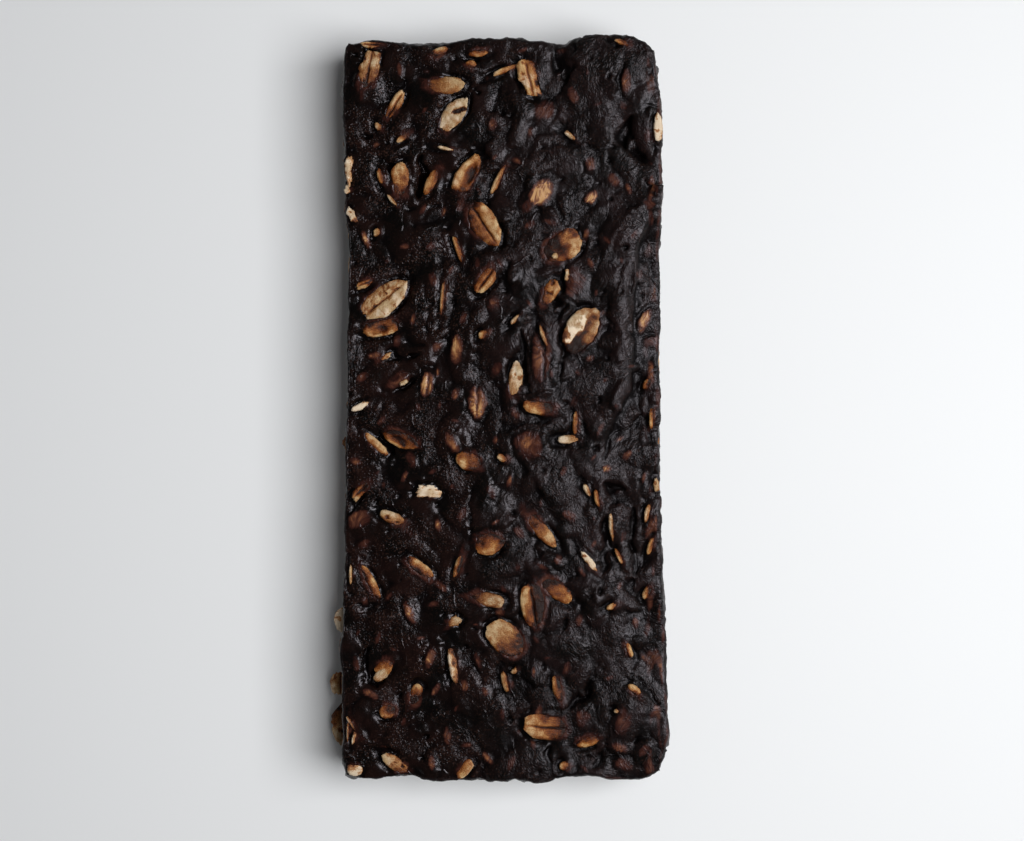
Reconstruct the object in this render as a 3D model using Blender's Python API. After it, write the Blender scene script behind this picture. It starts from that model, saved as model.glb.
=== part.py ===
"""Granola bar: one pressed block of dark paste and rolled oats.

Metres, +Z up. The bar lies flat, its length along Y and its width along X. The origin
is at the centre of its footprint, on the surface that it rests on. Three sides are knife
cuts, nearly straight. The corner at +X +Y ends in a rounded lobe of paste, and a strip
along the +X side lies lower than the rest of the top.
"""
import math

import bmesh
import bpy
from mathutils import Vector, noise

NAME = "granola_bar"
NODE = "bar"
MM = 0.001

# Driving sizes, in millimetres as every size below.
LENGTH = 126.8
WIDTH = 54.4
THICKNESS = 15.0

# The grid that the faces are cut into.
CELLS_ACROSS = 30
CELLS_ALONG = 72
WALL_LEVELS = (0.03, 0.11, 0.28, 0.5, 0.72, 0.88, 0.97)

# Rounding of the long edges: the lower edge is softened by handling, the upper by cutting.
LOWER_EDGE_RADIUS = 1.5
UPPER_EDGE_RADIUS = 1.1

# Plan radius of each corner, by the signs of X and Y.
CORNER_RADII = {(-1, -1): 1.0, (-1, 1): 0.8, (1, -1): 4.2, (1, 1): 5.0}

# How far each side stands out from its straight line: (place along the side, offset).
# The base keeps BASE_SHARE of each offset, because the crumbled edge is at the top.
BASE_SHARE = 0.35
LEFT_SIDE = ((-63, -0.3), (-60, 0.3), (-49, 0.4), (-41, 0.9), (-36, 0.2), (-32, 0.5), (-26, -0.3),
             (-19, 0.1), (-13, -0.3), (0, -0.5), (18, -0.9), (29, -0.8), (35, -0.2), (44, 0.1),
             (56, 0.3), (63, 0.1))
RIGHT_SIDE = ((-63, -0.6), (-59, -0.2), (-56, 0.8), (-46, 0.4), (-34, 0.1), (-29, -0.3),
              (-14, -0.8), (1, -0.9), (27, -0.9), (40, -0.6), (48, -0.6), (52, -1.1),
              (57, -1.8), (63, -1.9))
FAR_END = ((-27, -1.4), (-25, -1.7), (-22.7, -0.7), (-18, -1.5), (-15.7, -2.2), (-11, -2.0),
           (-7, -1.2), (-2.6, -0.7), (3.3, -0.7), (8.0, -1.8), (10.1, -2.9), (12.3, -1.2),
           (16, -0.2), (20.3, 0.0), (27, -0.3))
NEAR_END = ((-27, -0.7), (-22, -0.5), (-16.2, -1.2), (-12.8, -0.3), (5.9, -0.2), (11, -1.2),
            (14.4, -1.3), (18.6, -0.2), (23, 0.0), (27, -0.4))

# The low strip along the +X side starts at this line: (place along Y, X of the step).
STEP_LINE = ((-56, 25.5), (-48, 23.0), (-36, 20.0), (-22, 18.0), (-8, 16.8), (-3, 18.4),
             (2, 21.0), (12, 21.8), (23, 22.4), (31, 23.4), (37, 26.0))
STEP_DROP = 1.7
STEP_WIDTH = 1.1
STEP_ENDS = (-54.0, 33.0)
STEP_FADE = 6.0

# Mounds and hollows of the top: (x, y, half length, half width, turn in degrees, rise).
RELIEF = (
    (17.5, 56.5, 8.5, 7.0, 90, 1.3),      # corner lobe
    (9.6, 58.5, 4.5, 1.3, 80, -1.6),      # cleft beside the lobe
    (20.7, 47.3, 3.2, 1.2, 90, -1.9),     # pit inside the +X edge
    (23.2, 42.9, 2.4, 1.3, -35, -1.4),
    (-12.3, 36.8, 4.8, 1.5, 85, -1.5),    # pit between flakes at -X
    (-24.4, 56.5, 2.6, 1.2, 90, -0.8),
    (3.4, 10.0, 4.0, 1.3, 90, -1.0),
    (-19.8, 7.2, 2.6, 2.2, 30, -1.2),
    (-18.0, -6.4, 2.4, 1.2, 80, -1.0),
    (13.0, -48.6, 4.2, 1.1, 60, -1.2),
    (-23.2, -44.3, 2.4, 1.4, 90, -1.2),
    (8.0, 8.5, 6.5, 4.2, 90, 0.7),        # large flakes under the paste
    (13.8, 3.8, 3.8, 3.6, 0, 0.6),
    (21.0, -51.5, 5.0, 3.6, 75, 0.7),
    (4.0, -60.0, 4.0, 3.2, 0, 0.5),
    (0.0, 22.0, 18.0, 7.0, 95, 0.5),      # broad swell down the middle
    (-3.0, -28.0, 16.0, 9.0, 80, 0.4),
)
LUMPS = ((8.5, 0.60), (4.2, 0.50))        # (distance between lumps, height)
WALL_WAVES = ((7.0, 0.40), (3.1, 0.22))   # (distance between waves, depth)

PASTE_COLOUR = (0.024, 0.014, 0.012, 1.0)
PASTE_ROUGHNESS = 0.42


def clear_scene():
    for thing in list(bpy.context.scene.objects):
        bpy.data.objects.remove(thing, do_unlink=True)


def along_curve(points, place):
    """Height of the smooth curve through points at place, level beyond both ends."""
    if place <= points[0][0]:
        return points[0][1]
    for (start, low), (end, high) in zip(points, points[1:]):
        if place <= end:
            part = (place - start) / (end - start)
            ease = part * part * (3 - 2 * part)
            return low + (high - low) * ease
    return points[-1][1]


def ramp(value, start, width):
    """0 below start, 1 above start + width, smooth between."""
    part = min(max((value - start) / width, 0.0), 1.0)
    return part * part * (3 - 2 * part)


def rounded_corner(across, along):
    """Move a point of the unit square so that the square's corners become arcs."""
    side_x = 1 if across > 0 else -1
    side_y = 1 if along > 0 else -1
    radius = CORNER_RADII[side_x, side_y]
    reach_x = radius / (WIDTH / 2)
    reach_y = radius / (LENGTH / 2)
    in_x = (abs(across) - 1 + reach_x) / reach_x
    in_y = (abs(along) - 1 + reach_y) / reach_y
    if in_x <= 0 or in_y <= 0:
        return across, along
    arc_x = in_x * math.sqrt(1 - in_y * in_y / 2)
    arc_y = in_y * math.sqrt(1 - in_x * in_x / 2)
    return side_x * (1 - reach_x + arc_x * reach_x), side_y * (1 - reach_y + arc_y * reach_y)


def footprint(across, along, level, inset):
    """Plan position of a unit-square point on the outline at a level, drawn in by inset."""
    across, along = rounded_corner(across, along)
    x_plain = across * WIDTH / 2
    y_plain = along * LENGTH / 2
    share = BASE_SHARE + (1 - BASE_SHARE) * level
    left = -WIDTH / 2 - share * along_curve(LEFT_SIDE, y_plain) + inset
    right = WIDTH / 2 + share * along_curve(RIGHT_SIDE, y_plain) - inset
    near = -LENGTH / 2 - share * along_curve(NEAR_END, x_plain) + inset
    far = LENGTH / 2 + share * along_curve(FAR_END, x_plain) - inset
    x = left + (right - left) * (across + 1) / 2
    y = near + (far - near) * (along + 1) / 2
    return x, y


def mound(x, y, row):
    """One soft oval mound or hollow."""
    centre_x, centre_y, half_length, half_width, turn, rise = row
    angle = math.radians(turn)
    dx = x - centre_x
    dy = y - centre_y
    lengthwise = (dx * math.cos(angle) + dy * math.sin(angle)) / half_length
    sideways = (dy * math.cos(angle) - dx * math.sin(angle)) / half_width
    return rise * math.exp(-lengthwise ** 2 - sideways ** 2)


def low_strip(x, y):
    """Drop of the strip along the +X side."""
    start, end = STEP_ENDS
    present = ramp(y, start, STEP_FADE) * (1 - ramp(y, end, STEP_FADE))
    return STEP_DROP * present * ramp(x, along_curve(STEP_LINE, y), STEP_WIDTH)


def ripple(point, waves):
    """Uneven waves of several sizes at a point."""
    return sum(depth * noise.noise(point / spacing) for spacing, depth in waves)


def top_height(x, y):
    """Height of the lumpy top above the base."""
    relief = sum(mound(x, y, row) for row in RELIEF)
    return THICKNESS + relief - low_strip(x, y) + ripple(Vector((x, y, 0)), LUMPS)


def edge_inset(rise, drop):
    """How far the rounded wall is drawn in, at a rise above the base and a drop below the top."""
    inset = 0.0
    for distance, radius in ((rise, LOWER_EDGE_RADIUS), (drop, UPPER_EDGE_RADIUS)):
        if distance < radius:
            inset += radius - math.sqrt(radius ** 2 - (radius - distance) ** 2)
    return inset


def shaped(unit):
    """Where a point of the unit cube lies on the bar."""
    level = (unit.z + 1) / 2
    x, y = footprint(unit.x, unit.y, 1, UPPER_EDGE_RADIUS)
    height = top_height(x, y)
    rise = level * height
    x, y = footprint(unit.x, unit.y, level, edge_inset(rise, height - rise))
    on_wall = 0 < level < 1
    if on_wall:
        outward = Vector((x / WIDTH, y / LENGTH, 0)).normalized()
        wave = ripple(Vector((x, y, rise + LENGTH)), WALL_WAVES) * math.sin(math.pi * level)
        x += outward.x * wave
        y += outward.y * wave
    return Vector((x, y, rise))


def slice_block(mesh, normal, places):
    """Cut the whole block by planes square to normal."""
    for place in places:
        everything = mesh.verts[:] + mesh.edges[:] + mesh.faces[:]
        bmesh.ops.bisect_plane(mesh, geom=everything, plane_co=normal * place, plane_no=normal)


def even_places(cells):
    return [2 * index / cells - 1 for index in range(1, cells)]


def gridded_block():
    """A cube whose top and walls are cut into a grid, over a plain base."""
    mesh = bmesh.new()
    bmesh.ops.create_cube(mesh, size=2)
    slice_block(mesh, Vector((1, 0, 0)), even_places(CELLS_ACROSS))
    slice_block(mesh, Vector((0, 1, 0)), even_places(CELLS_ALONG))
    slice_block(mesh, Vector((0, 0, 1)), [2 * level - 1 for level in WALL_LEVELS])
    base = [face for face in mesh.faces if face.normal.z < -0.5]
    bmesh.ops.dissolve_faces(mesh, faces=base, use_verts=False)
    return mesh


def centre_on_origin(mesh):
    """Bring the middle of the footprint to the origin."""
    low_x = min(vert.co.x for vert in mesh.verts)
    high_x = max(vert.co.x for vert in mesh.verts)
    low_y = min(vert.co.y for vert in mesh.verts)
    high_y = max(vert.co.y for vert in mesh.verts)
    middle = Vector(((low_x + high_x) / 2, (low_y + high_y) / 2, 0))
    bmesh.ops.translate(mesh, verts=mesh.verts, vec=-middle)


def paste_material():
    material = bpy.data.materials.new("dark_paste")
    material.use_nodes = True
    shader = material.node_tree.nodes["Principled BSDF"]
    shader.inputs["Base Color"].default_value = PASTE_COLOUR
    shader.inputs["Roughness"].default_value = PASTE_ROUGHNESS
    shader.inputs["Metallic"].default_value = 0.0
    return material


def make_bar(collection):
    mesh = gridded_block()
    for vert in mesh.verts:
        vert.co = shaped(vert.co)
    centre_on_origin(mesh)
    bmesh.ops.scale(mesh, verts=mesh.verts, vec=(MM, MM, MM))
    bmesh.ops.recalc_face_normals(mesh, faces=mesh.faces)
    data = bpy.data.meshes.new(NODE)
    mesh.to_mesh(data)
    mesh.free()
    data.shade_smooth()
    data.materials.append(paste_material())
    bar = bpy.data.objects.new(NODE, data)
    collection.objects.link(bar)
    return bar


def main():
    clear_scene()
    collection = bpy.data.collections.new(NAME)
    bpy.context.scene.collection.children.link(collection)
    make_bar(collection)


main()
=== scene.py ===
"""Looks of the granola bar: dark satin paste pressed round rolled oats, seen from above.

Lengths are in millimetres until a mesh is made, and MM turns them into metres. The bar
is one closed skin of paste laid over the CAD solid, with true oat flakes let into it.
"""
import functools
import itertools
import math
from dataclasses import dataclass

import bpy
import numpy as np
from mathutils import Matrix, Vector, geometry
from mathutils.bvhtree import BVHTree


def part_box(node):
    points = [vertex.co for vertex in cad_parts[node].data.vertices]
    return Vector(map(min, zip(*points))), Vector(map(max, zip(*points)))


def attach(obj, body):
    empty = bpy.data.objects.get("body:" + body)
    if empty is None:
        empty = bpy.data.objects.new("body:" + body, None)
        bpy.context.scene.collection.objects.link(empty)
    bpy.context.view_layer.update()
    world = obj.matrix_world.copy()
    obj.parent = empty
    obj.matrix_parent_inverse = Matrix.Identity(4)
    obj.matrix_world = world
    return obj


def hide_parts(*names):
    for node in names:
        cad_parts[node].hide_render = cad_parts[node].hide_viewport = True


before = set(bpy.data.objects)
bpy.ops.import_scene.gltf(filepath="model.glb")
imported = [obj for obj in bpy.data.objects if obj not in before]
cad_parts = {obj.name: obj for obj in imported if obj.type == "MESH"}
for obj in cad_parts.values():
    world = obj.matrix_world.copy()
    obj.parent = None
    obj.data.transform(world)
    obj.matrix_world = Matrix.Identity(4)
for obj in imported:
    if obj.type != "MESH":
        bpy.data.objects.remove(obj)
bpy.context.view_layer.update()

MM = 0.001
NODE = "bar"
BODY = "root"
SEED = 11
rng = np.random.default_rng(SEED)

# ---------------------------------------------------------------- sizes of the bar
LOW, HIGH = (np.array(corner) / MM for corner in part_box(NODE))
HALF_WIDTH = (HIGH[0] - LOW[0]) / 2
HALF_LENGTH = (HIGH[1] - LOW[1]) / 2
SPINE_HALF = HALF_LENGTH - HALF_WIDTH      # the outline is measured outward from this line
WALL_HEIGHTS = (1.7, 4.5, 7.5, 10.0, 11.6)
END_SKIN = 0.6
CUT_SKIN = 0.4
UPPER_RADIUS = 0.9
CUT_RADIUS = 0.45
LOWER_RADIUS = 1.3

# ---------------------------------------------------------------- grids of the paste skin
CELLS_ACROSS = 174
CELLS_ALONG = 400
ARC_ROWS = 4
WALL_ROWS = 12
BASE_SPACING = 1.6

# ---------------------------------------------------------------- oat flakes, listed
# Each row: x, y, length, width, turn in degrees, form, film, side of the film in degrees.
# Film is how far the paste covers the flake, from 0, bare, to 1. The side is where from.
PALE = (
    (-20.6, 18.6, 9.0, 5.0, 39, "speckled", 0.10, 150),
    (-8.9, 50.1, 6.9, 3.6, 52, "holed", 0.05, 230),
    (-10.4, 55.1, 6.6, 3.1, 3, "plain", 0.42, 185),
    (-23.2, 57.9, 7.2, 3.6, 80, "torn", 0.35, 270),
    (13.0, 13.3, 8.6, 5.6, 54, "split", 0.18, 330),
    (0.2, -39.4, 7.8, 5.2, -46, "plain", 0.45, 325),
    (1.7, 5.0, 6.2, 2.4, 86, "pitted", 0.15, 260),
    (-12.9, -14.3, 4.2, 2.4, -2, "shard", 0.05, 270),
    (10.7, -5.3, 3.6, 1.5, 2, "plain", 0.1, 0),
    (-24.8, 0.3, 3.2, 1.2, 24, "bright", 0.0, 0),
    (-26.8, 40.6, 4.6, 1.5, 96, "shard", 0.1, 0),
    (26.0, 47.9, 4.8, 1.6, 92, "bright", 0.0, 0),
    (-3.2, -32.6, 6.0, 2.5, -12, "plain", 0.40, 170),
    (-19.2, -18.8, 5.0, 2.0, -28, "pitted", 0.30, 300),
    (-8.8, -36.4, 2.8, 1.8, 35, "chip", 0.25, 200),
    (-18.7, -60.7, 5.6, 2.3, -38, "pitted", 0.32, 320),
    (-25.7, -61.7, 2.7, 2.1, 4, "bright", 0.22, 90),
    (-21.2, -45.5, 3.3, 1.8, 40, "plain", 0.1, 0),
    (-8.9, -44.0, 6.6, 1.5, -81, "bright", 0.35, 10),
    (14.3, -26.2, 4.6, 1.2, -52, "bright", 0.15, 270),
    (8.4, 26.0, 1.3, 1.0, 20, "chip", 0.0, 0),
    (10.5, 22.7, 2.1, 0.9, 85, "chip", 0.1, 0),
    (1.6, 15.1, 2.1, 0.8, 48, "sliver", 0.2, 0),
    (-21.8, 48.2, 1.7, 1.1, -50, "chip", 0.3, 0),
    (11.2, 46.4, 2.7, 0.8, -38, "sliver", 0.2, 0),
    (-26.2, 33.0, 3.0, 1.5, -60, "shard", 0.1, 0),
    (-27.0, 37.4, 1.8, 1.1, 80, "shard", 0.15, 0),
    (-17.4, 4.4, 1.6, 0.9, 25, "plain", 0.15, 120),
    (-21.9, 30.1, 1.3, 1.5, 0, "chip", 0.3, 0),
    (-10.0, 44.3, 3.2, 0.6, -12, "sliver", 0.2, 0),
    (-19.4, 35.5, 2.4, 0.7, -50, "sliver", 0.3, 0),
    (6.5, 12.2, 4.0, 0.8, -70, "sliver", 0.3, 0),
    (13.9, -14.0, 2.3, 0.9, -62, "sliver", 0.2, 0),
    (18.1, -20.4, 5.0, 0.8, -84, "sliver", 0.25, 0),
    (25.9, -13.3, 2.4, 1.1, 90, "chip", 0.1, 0),
    (-26.4, -53.6, 3.0, 0.6, -58, "shard", 0.45, 0),
    (-26.9, -55.2, 3.8, 0.5, 88, "shard", 0.50, 0),
    (-25.9, -56.4, 2.0, 0.8, 75, "shard", 0.40, 0),
    (1.5, -44.9, 1.3, 1.0, 20, "chip", 0.3, 0),
    (-0.1, -46.8, 3.7, 1.1, -76, "sliver", 0.3, 0),
    (18.9, -51.6, 0.9, 0.8, 0, "chip", 0.3, 0),
    (-26.4, -28.4, 3.2, 0.6, 90, "sliver", 0.2, 0),
)
TAN = (
    (-18.9, 51.7, 5.4, 2.0, 58, "creased", 0.30, 260),
    (-11.3, 60.8, 3.2, 1.6, 25, "plain", 0.55, 270),
    (-4.7, 60.7, 3.3, 1.4, 8, "plain", 0.50, 90),
    (-6.0, 58.7, 2.0, 1.4, 0, "plain", 0.55, 250),
    (0.0, 57.8, 4.7, 1.0, 24, "sliver", 0.3, 0),
    (-23.0, 62.1, 3.4, 1.2, 0, "torn", 0.3, 0),
    (-17.6, 46.2, 2.6, 1.1, 40, "plain", 0.5, 60),
    (-21.3, 39.6, 2.8, 1.2, -75, "plain", 0.45, 0),
    (-18.0, 38.9, 6.0, 3.0, 92, "plain", 0.47, 270),
    (-12.6, 38.8, 5.4, 1.9, 62, "plain", 0.45, 10),
    (-6.5, 40.0, 7.6, 3.4, 62, "hollow", 0.30, 300),
    (-1.2, 39.1, 5.6, 1.1, 62, "sliver", 0.4, 0),
    (4.1, 56.2, 7.2, 3.3, -75, "torn", 0.20, 20),
    (20.0, 62.2, 3.0, 0.9, -18, "sliver", 0.62, 0),
    (9.5, 27.5, 7.0, 5.0, 30, "plain", 0.68, 190),
    (7.5, 19.6, 4.8, 2.6, 60, "pitted", 0.42, 200),
    (-3.6, 31.2, 8.2, 4.9, -57, "creased", 0.38, 190),
    (-8.0, 27.0, 4.6, 1.1, -74, "sliver", 0.4, 0),
    (-3.5, 21.7, 5.2, 2.6, 52, "creased", 0.42, 120),
    (-10.7, 18.8, 6.0, 0.9, 84, "sliver", 0.5, 0),
    (-24.0, 21.3, 3.2, 1.4, 25, "torn", 0.4, 90),
    (-21.4, 13.7, 6.3, 3.0, 12, "hollow", 0.40, 90),
    (-20.6, 8.8, 2.2, 1.0, 35, "chip", 0.4, 180),
    (-3.7, 12.6, 2.0, 1.4, 20, "plain", 0.6, 0),
    (-22.2, -6.1, 5.8, 1.5, -42, "sliver", 0.35, 220),
    (-17.9, -5.3, 6.6, 2.8, -24, "hollow", 0.60, 60),
    (-6.3, -9.0, 4.8, 3.2, -22, "plain", 0.52, 20),
    (-0.4, -8.6, 2.2, 1.2, -28, "plain", 0.45, 0),
    (5.8, 0.1, 5.8, 2.4, -8, "plain", 0.60, 40),
    (12.0, -2.4, 3.9, 1.1, 88, "sliver", 0.5, 0),
    (25.1, -1.9, 3.8, 0.8, 90, "sliver", 0.4, 0),
    (24.4, 4.3, 2.2, 1.2, 60, "plain", 0.6, 0),
    (-24.7, -14.0, 3.9, 1.7, 45, "torn", 0.5, 60),
    (-2.7, -23.0, 5.2, 4.0, 8, "plain", 0.54, 100),
    (-14.8, -27.2, 5.6, 2.2, -38, "plain", 0.66, 240),
    (-8.0, -26.8, 4.6, 1.3, 72, "sliver", 0.66, 0),
    (-23.2, -29.4, 6.6, 1.7, -62, "plain", 0.58, 200),
    (5.9, -20.6, 7.6, 2.4, -50, "plain", 0.52, 130),
    (15.6, -15.3, 3.2, 0.9, -78, "sliver", 0.4, 0),
    (19.4, -25.3, 3.0, 0.8, -62, "sliver", 0.4, 0),
    (24.3, -18.0, 3.3, 1.0, 78, "sliver", 0.3, 0),
    (24.9, -23.6, 3.3, 1.0, 70, "sliver", 0.4, 0),
    (4.7, -33.6, 7.8, 4.2, -82, "creased", 0.66, 0),
    (8.7, -31.0, 6.2, 3.0, -38, "plain", 0.68, 130),
    (18.2, -33.8, 2.2, 1.0, 22, "sliver", 0.4, 0),
    (24.3, -31.6, 2.5, 1.4, 60, "plain", 0.60, 0),
    (-20.7, -44.2, 3.6, 2.7, 50, "plain", 0.42, 90),
    (-15.4, -49.0, 4.0, 2.0, 75, "plain", 0.74, 250),
    (-20.1, -51.7, 3.0, 2.5, 15, "plain", 0.70, 40),
    (-7.0, -61.6, 3.8, 2.0, 52, "plain", 0.25, 150),
    (7.0, -54.4, 7.8, 4.3, -6, "creased", 0.42, 20),
    (14.0, -56.8, 4.3, 2.0, 18, "plain", 0.58, 100),
    (8.9, -47.8, 4.6, 1.8, -74, "plain", 0.62, 0),
    (10.1, -61.0, 1.9, 1.5, 0, "plain", 0.5, 0),
    (21.0, -41.2, 3.0, 1.1, -70, "plain", 0.5, 180),
    (21.9, -48.0, 2.7, 1.5, -40, "plain", 0.5, 250),
)
STAINED = (
    (6.6, 8.8, 10.4, 4.6, 88, "creased", 0.78, 0),
    (6.7, 37.2, 6.2, 4.4, 52, "plain", 0.53, 40),
    (14.9, 36.4, 3.4, 1.9, 54, "plain", 0.56, 60),
    (6.0, 50.6, 5.3, 4.2, 25, "plain", 0.80, 200),
    (20.8, 55.5, 4.8, 2.4, 88, "torn", 0.78, 0),
    (11.8, 53.2, 3.8, 2.2, -62, "plain", 0.80, 0),
    (-1.9, 48.5, 3.0, 2.0, 80, "plain", 0.80, 0),
    (-23.6, 28.6, 3.9, 1.4, -68, "plain", 0.68, 0),
    (-12.3, 27.6, 3.0, 2.2, 20, "plain", 0.86, 0),
    (-1.6, 17.9, 3.6, 3.0, 60, "plain", 0.82, 0),
    (-15.6, 15.3, 2.6, 1.2, 80, "plain", 0.78, 0),
    (12.4, 21.9, 7.0, 4.8, 78, "plain", 0.84, 20),
    (23.9, 14.6, 5.6, 2.4, 62, "torn", 0.64, 300),
    (4.4, 31.2, 2.6, 1.8, 20, "plain", 0.84, 0),
    (-22.2, 9.0, 2.8, 1.4, 10, "plain", 0.74, 0),
    (-18.2, 5.3, 6.4, 3.4, 35, "plain", 0.82, 90),
    (-13.3, 3.6, 5.2, 2.5, 82, "creased", 0.58, 300),
    (-11.5, 6.1, 1.9, 0.8, 85, "plain", 0.7, 0),
    (-8.2, 9.4, 6.6, 2.6, 88, "plain", 0.68, 300),
    (-4.8, 1.6, 6.8, 3.6, 88, "creased", 0.60, 80),
    (-9.4, -5.5, 5.0, 2.1, -62, "plain", 0.72, 120),
    (14.7, 8.5, 2.2, 1.5, 30, "plain", 0.76, 0),
    (4.5, -6.9, 6.4, 5.2, -60, "plain", 0.77, 315),
    (17.6, -10.3, 2.1, 1.6, 0, "plain", 0.66, 0),
    (10.1, -10.8, 2.8, 1.5, 60, "plain", 0.80, 0),
    (16.4, -3.4, 3.2, 1.2, 62, "plain", 0.84, 0),
    (23.9, -11.8, 2.6, 0.9, 78, "plain", 0.72, 0),
    (-24.6, -19.4, 5.2, 4.4, 10, "plain", 0.80, 300),
    (-11.3, -20.2, 2.7, 1.3, -75, "plain", 0.70, 0),
    (-16.1, -35.0, 5.2, 1.9, -64, "plain", 0.70, 0),
    (-11.9, -33.3, 3.0, 1.3, 20, "plain", 0.84, 0),
    (11.3, -18.3, 3.6, 2.4, -20, "torn", 0.84, 0),
    (15.3, -23.1, 2.4, 1.0, 60, "plain", 0.82, 0),
    (13.2, -28.0, 2.8, 1.1, -60, "plain", 0.80, 0),
    (20.4, -22.0, 3.0, 1.6, 80, "torn", 0.84, 0),
    (-12.6, -42.6, 4.2, 2.0, 70, "plain", 0.70, 0),
    (-4.5, -43.1, 3.6, 1.3, -70, "plain", 0.80, 0),
    (-22.7, -48.8, 3.8, 1.6, -28, "plain", 0.74, 0),
    (-12.4, -60.4, 3.4, 1.6, -80, "plain", 0.74, 0),
    (-2.8, -59.8, 3.3, 1.3, -48, "torn", 0.66, 0),
    (24.0, -43.0, 2.6, 1.0, -50, "torn", 0.72, 0),
    (20.6, -53.2, 6.4, 3.8, 82, "plain", 0.88, 0),
    (13.6, -52.8, 4.0, 3.6, 60, "plain", 0.88, 0),
    (20.8, -60.8, 4.6, 2.6, -20, "torn", 0.84, 0),
    (1.2, -47.2, 2.8, 1.4, -70, "plain", 0.84, 0),
    (18.1, -46.0, 2.2, 1.2, 20, "plain", 0.88, 0),
)
# Flakes wholly under the paste: x, y, length, width, turn, rise.
BURIED = (
    (-19.6, 43.6, 6.0, 3.2, 57, 0.45),
    (23.9, 46.9, 8.0, 4.4, -72, 0.9),
    (6.2, 41.2, 4.4, 2.2, 30, 0.35),
    (3.0, 41.4, 5.0, 3.0, 0, 0.3),
    (6.7, 8.4, 11.0, 5.0, 89, 0.9),
    (5.6, 0.1, 6.8, 3.6, -8, 0.4),
    (13.8, 3.8, 6.8, 6.0, 30, 0.5),
    (4.0, -60.0, 7.4, 5.6, 5, 0.5),
    (20.8, -52.0, 9.6, 5.0, 78, 0.5),
    (23.4, -58.4, 4.6, 4.0, 60, 1.0),
    (20.8, -61.0, 6.4, 3.6, -18, 0.5),
    (-24.4, -20.0, 6.2, 5.6, 12, 0.45),
    (-16.0, -28.6, 6.4, 4.6, -30, 0.35),
    (13.4, -52.6, 5.4, 4.8, 20, 0.5),
    (17.0, -14.6, 5.6, 2.4, -66, 0.5),
    (-3.6, -26.5, 6.0, 4.4, 60, 0.3),
    (-18.0, 28.5, 8.0, 5.4, -60, 0.35),
    (-13.0, 21.5, 7.0, 4.2, 80, 0.3),
    (2.6, 53.0, 6.8, 3.4, -78, 0.45),
    (-4.4, 52.0, 7.6, 3.2, 88, 0.4),
    (15.6, 57.6, 8.0, 5.2, 40, 0.3),
    (22.0, 58.0, 5.6, 3.4, -60, 0.4),
    (3.4, 25.0, 7.4, 3.6, 84, 0.35),
    (18.5, 30.5, 7.0, 4.0, 60, 0.3),
    (16.6, 22.0, 6.4, 3.6, 70, 0.3),
    (-6.6, 22.4, 6.6, 3.2, 52, 0.4),
    (14.8, -7.6, 7.2, 3.4, -75, 0.35),
    (9.6, -13.0, 6.8, 3.8, -80, 0.35),
    (22.0, -8.0, 6.0, 3.2, -70, 0.4),
    (23.2, 22.0, 6.4, 2.6, 86, 0.3),
    (12.2, -46.2, 5.4, 3.0, 64, 0.45),
    (-2.0, -53.6, 9.0, 6.6, 70, 0.3),
    (-9.4, -54.6, 8.0, 6.0, 40, 0.3),
)
# Cracks and pits: x and y of both ends, width, depth.
CREVICES = (
    (20.9, 49.6, 20.4, 44.6, 0.8, 1.8),
    (8.3, 18.6, 9.6, 18.0, 0.7, 1.3),
    (17.2, -13.0, 19.8, -13.8, 1.0, 1.4),
    (21.8, 43.8, 24.8, 41.8, 0.6, 1.2),
    (-14.1, 42.6, -14.7, 36.2, 1.0, 1.8),
    (-19.0, 34.0, -11.0, 34.8, 0.5, 0.6),
    (-22.2, 42.6, -17.6, 41.2, 0.6, 0.9),
    (3.0, 13.2, 3.3, 7.0, 0.6, 1.2),
    (9.9, 12.6, 9.0, 5.2, 0.4, 0.7),
    (-19.6, 8.0, -15.2, 9.4, 0.8, 0.8),
    (-18.8, 12.0, -13.6, 10.4, 0.7, 0.7),
    (-21.4, -4.2, -18.9, -7.4, 0.5, 1.1),
    (14.5, -46.6, 13.7, -49.4, 0.6, 1.5),
    (13.7, -49.4, 10.2, -51.4, 0.6, 1.4),
    (17.6, -13.4, 19.0, -16.4, 0.6, 1.0),
    (17.2, -17.4, 16.8, -29.0, 0.7, 1.1),
    (21.6, -17.2, 21.9, -24.6, 0.7, 1.1),
    (-24.0, -41.6, -23.6, -46.4, 0.6, 1.1),
    (-24.6, -34.4, -21.6, -32.6, 0.6, 0.9),
    (12.6, -1.4, 13.4, -5.0, 0.4, 0.6),
    (-6.2, -13.6, -6.1, -25.4, 0.4, 0.6),
    (-13.6, 21.6, -13.4, 11.6, 0.4, 0.4),
    (2.9, 58.6, 2.6, 53.4, 0.5, 0.7),
    (10.0, 55.4, 8.6, 61.0, 0.6, 0.8),
    (-16.0, -54.6, -12.4, -50.6, 0.6, 0.4),
    (7.6, -57.4, 7.4, -62.0, 0.5, 0.7),
    (15.4, -61.6, 17.6, -56.2, 0.6, 0.7),
    (10.4, 0.8, 12.4, -1.0, 0.5, 0.6),
    (16.8, 17.4, 18.2, 13.4, 0.4, 0.6),
    (23.8, 38.6, 25.6, 36.6, 0.6, 0.8),
    (21.7, 25.0, 21.2, 10.0, 0.4, 0.6),
    (18.2, -2.4, 16.4, -8.8, 0.4, 0.6),
    (22.4, -45.6, 26.0, -50.6, 0.5, 0.7),
    (-2.4, -42.2, 3.8, -46.0, 0.35, 0.35),
)
# The lip of the low shelf along the right side, from the far end to the near: x and y.
LEDGE = ((24.6, 33.0), (22.7, 27.0), (21.9, 20.0), (21.6, 10.5), (21.2, 3.0), (18.6, -1.5), (16.4, -8.0))
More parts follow.
